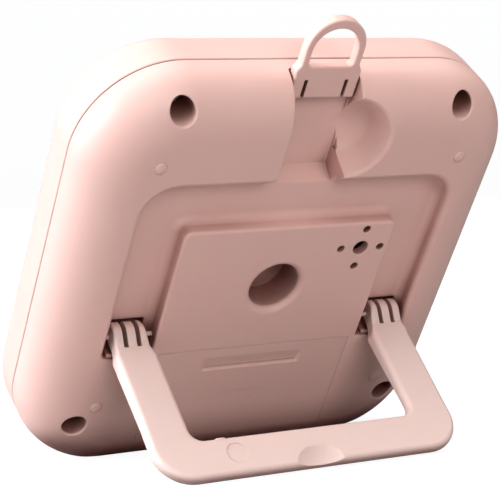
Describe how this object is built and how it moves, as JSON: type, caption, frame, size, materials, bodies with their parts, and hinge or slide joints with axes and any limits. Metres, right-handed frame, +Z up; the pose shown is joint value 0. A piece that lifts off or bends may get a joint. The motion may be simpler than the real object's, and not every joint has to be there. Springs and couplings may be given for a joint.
{
  "type": "waterproof digital table clock",
  "caption": "Rounded square water-resistant desk and shower clock, leaning on a fold-out kickstand, with a sliding hanging loop, suction-cup socket and battery cover.",
  "frame": {"origin": "on the ground under the middle of the clock as it stands on its open kickstand", "axes": "+Z up, display faces -Y and leans back, kickstand and hanging loop on the +Y side, +X to the left as seen from behind"},
  "size_m": [0.11, 0.0854, 0.1025],
  "materials": {
    "shell_pink": "satin moulded ABS",
    "stand_pink": "satin moulded ABS",
    "window": "clear acrylic, tinted",
    "button": "satin",
    "seal_rubber": "matt silicone rubber",
    "lcd_glass": "reflective liquid-crystal glass",
    "frame_white": "white moulded",
    "light_guide": "clear acrylic",
    "board": "solder mask",
    "chip_black": "epoxy",
    "switch_black": "moulded",
    "steel": "nickel plated",
    "cell_sleeve": "printed sleeve, no lettering",
    "wire_red": "PVC insulation",
    "wire_black": "PVC insulation"
  },
  "bodies": {
    "clock_body": {"rear_shell": "shell_pink", "front_shell": "shell_pink", "display_window": "window", "shell_seal": "seal_rubber", "zebra_strip": "seal_rubber", "button_membrane": "seal_rubber", "lcd_panel": "lcd_glass", "lcd_frame": "frame_white", "backlight_led": "frame_white", "light_guide": "light_guide", "main_board": "board", "clock_chip": "chip_black", "capacitor": "chip_black", "sounder": "chip_black", "switch_set": "switch_black", "switch_down": "switch_black", "switch_up": "switch_black", "switch_light": "switch_black", "crystal_can": "steel", "contact_spring_upper": "steel", "contact_spring_lower": "steel", "contact_bridge": "steel", "contact_plate_plus": "steel", "contact_plate_minus": "steel", "case_screw_1": "steel", "case_screw_2": "steel", "case_screw_3": "steel", "case_screw_4": "steel", "board_screw_1": "steel", "board_screw_2": "steel", "board_screw_3": "steel", "board_screw_4": "steel", "battery_upper": "cell_sleeve", "battery_lower": "cell_sleeve", "wire_battery_plus": "wire_red", "wire_sounder_plus": "wire_red", "wire_battery_minus": "wire_black", "wire_sounder_minus": "wire_black"},
    "kickstand": {"kickstand": "stand_pink"},
    "hanging_loop": {"hanging_loop": "shell_pink"},
    "battery_cover": {"battery_cover": "shell_pink"},
    "button_set": {"button_set": "button", "plunger_set": "switch_black"},
    "button_down": {"button_down": "button", "plunger_down": "switch_black"},
    "button_up": {"button_up": "button", "plunger_up": "switch_black"},
    "button_light": {"button_light": "button", "plunger_light": "switch_black"}
  },
  "joints": [
    {"name": "kickstand_hinge", "type": "hinge", "parent": "clock_body", "child": "kickstand", "pos_m": [0, -0.00122, 0.03136], "axis": [1, 0, 0], "range_deg": [0, 102.2]},
    {"name": "hanging_loop_slide", "type": "slide", "parent": "clock_body", "child": "hanging_loop", "axis": [0, -0.5689, -0.8224], "range_m": [0, 0.015]},
    {"name": "battery_cover_slide", "type": "slide", "parent": "clock_body", "child": "battery_cover", "axis": [0, -0.5689, -0.8224], "range_m": [0, 0.0065]},
    {"name": "button_set_press", "type": "slide", "parent": "clock_body", "child": "button_set", "axis": [0, 0.8224, -0.5689], "range_m": [0, 0.0005], "stiffness_N_per_m": 800, "springref_m": -0.001},
    {"name": "button_down_press", "type": "slide", "parent": "clock_body", "child": "button_down", "axis": [0, 0.8224, -0.5689], "range_m": [0, 0.0005], "stiffness_N_per_m": 800, "springref_m": -0.001},
    {"name": "button_up_press", "type": "slide", "parent": "clock_body", "child": "button_up", "axis": [0, 0.8224, -0.5689], "range_m": [0, 0.0005], "stiffness_N_per_m": 800, "springref_m": -0.001},
    {"name": "button_light_press", "type": "slide", "parent": "clock_body", "child": "button_light", "axis": [0, 0.8224, -0.5689], "range_m": [0, 0.0005], "stiffness_N_per_m": 800, "springref_m": -0.001}
  ]
}
